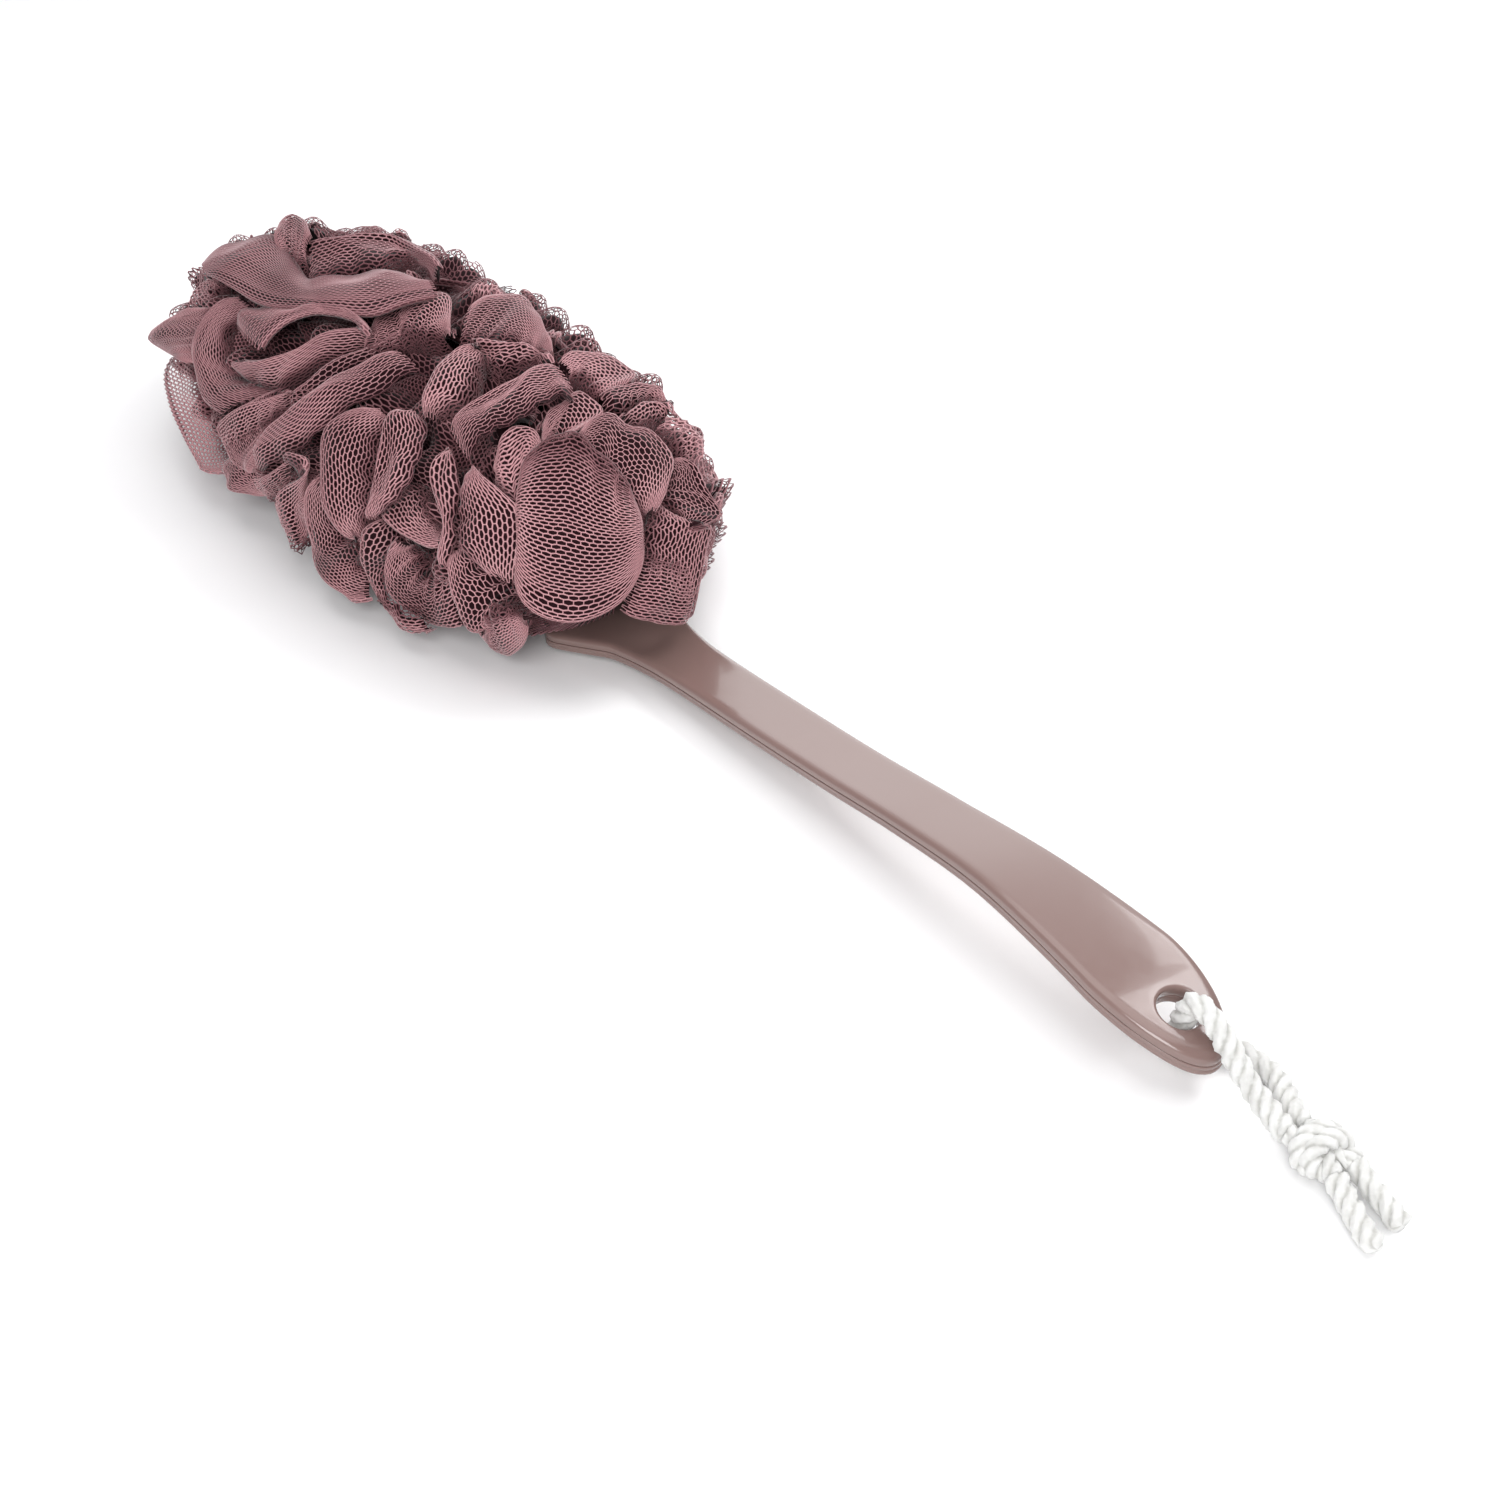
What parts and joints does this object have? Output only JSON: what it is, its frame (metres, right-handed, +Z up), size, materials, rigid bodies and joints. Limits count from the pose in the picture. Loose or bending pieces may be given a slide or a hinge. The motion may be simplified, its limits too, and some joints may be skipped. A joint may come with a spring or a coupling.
{
  "type": "loofah back scrubber",
  "caption": "Long curved handle with a flat head covered in ruffled bath netting, and a knotted cotton hanging cord through its tail.",
  "frame": {"origin": "centre of the scrubber's box in plan, hanging cord left out, at the height of the surface it lies on", "axes": "+X from the netting end along the handle to the hanging cord, +Y across, +Z up, lying with the netting on top of the head"},
  "size_m": [0.4744, 0.108, 0.0649],
  "materials": {
    "handle_plastic": "glossy moulded plastic",
    "netting": "fine knitted polyethylene bath netting",
    "tie_cord": "thin braided nylon",
    "cotton_cord": "soft twisted white cotton"
  },
  "bodies": {
    "scrubber": {"handle_upper_shell": "handle_plastic", "handle_lower_shell": "handle_plastic", "netting_bundle_1_right": "netting", "netting_bundle_1_left": "netting", "netting_bundle_2_right": "netting", "netting_bundle_2_left": "netting", "netting_bundle_3_right": "netting", "netting_bundle_3_left": "netting", "netting_bundle_4_right": "netting", "netting_bundle_4_left": "netting", "netting_bundle_5_right": "netting", "netting_bundle_5_left": "netting", "netting_tie_1_right": "tie_cord", "netting_tie_1_left": "tie_cord", "netting_tie_2_right": "tie_cord", "netting_tie_2_left": "tie_cord", "netting_tie_3_right": "tie_cord", "netting_tie_3_left": "tie_cord", "netting_tie_4_right": "tie_cord", "netting_tie_4_left": "tie_cord", "netting_tie_5_right": "tie_cord", "netting_tie_5_left": "tie_cord"},
    "hang_loop": {"hanging_cord": "cotton_cord", "cord_knot": "cotton_cord", "cord_end_a": "cotton_cord", "cord_end_b": "cotton_cord"}
  },
  "joints": [
    {"name": "hang_loop_swing", "type": "hinge", "parent": "scrubber", "child": "hang_loop", "pos_m": [0.201, 0, 0.0128], "axis": [0, 0, 1], "range_deg": [-45, 45]}
  ]
}
